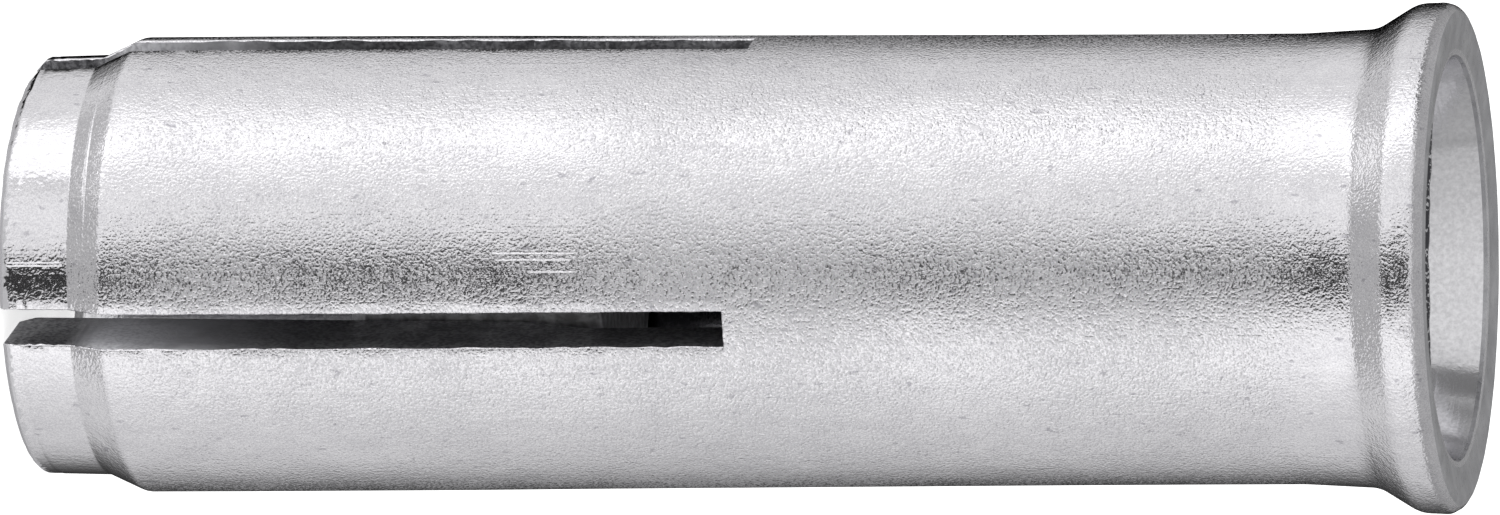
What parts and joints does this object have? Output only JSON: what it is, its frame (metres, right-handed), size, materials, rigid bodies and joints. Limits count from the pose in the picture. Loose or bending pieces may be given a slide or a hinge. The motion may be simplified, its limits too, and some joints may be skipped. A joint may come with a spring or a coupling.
{
  "type": "drop-in anchor",
  "caption": "Lipped steel drop-in anchor: a slotted, internally threaded expansion sleeve with the tapered expander plug inside it.",
  "frame": {"origin": "centre of the slotted nose end face, on which the anchor stands", "axes": "+Z along the anchor's axis, from the nose end to the mouth; the four legs are centred on +X, +Y, -X and -Y, with the slots between them"},
  "size_m": [0.0142, 0.0142, 0.04],
  "materials": {
    "zinc_sleeve": "bright zinc plating, satin, with fine speckle",
    "zinc_plug": "dull zinc plating"
  },
  "bodies": {
    "sleeve": {"sleeve": "zinc_sleeve"},
    "plug": {"expander_plug": "zinc_plug"}
  },
  "joints": [
    {"name": "plug_drive", "type": "slide", "parent": "sleeve", "child": "plug", "axis": [0, 0, -1], "range_m": [0, 0.004]}
  ]
}
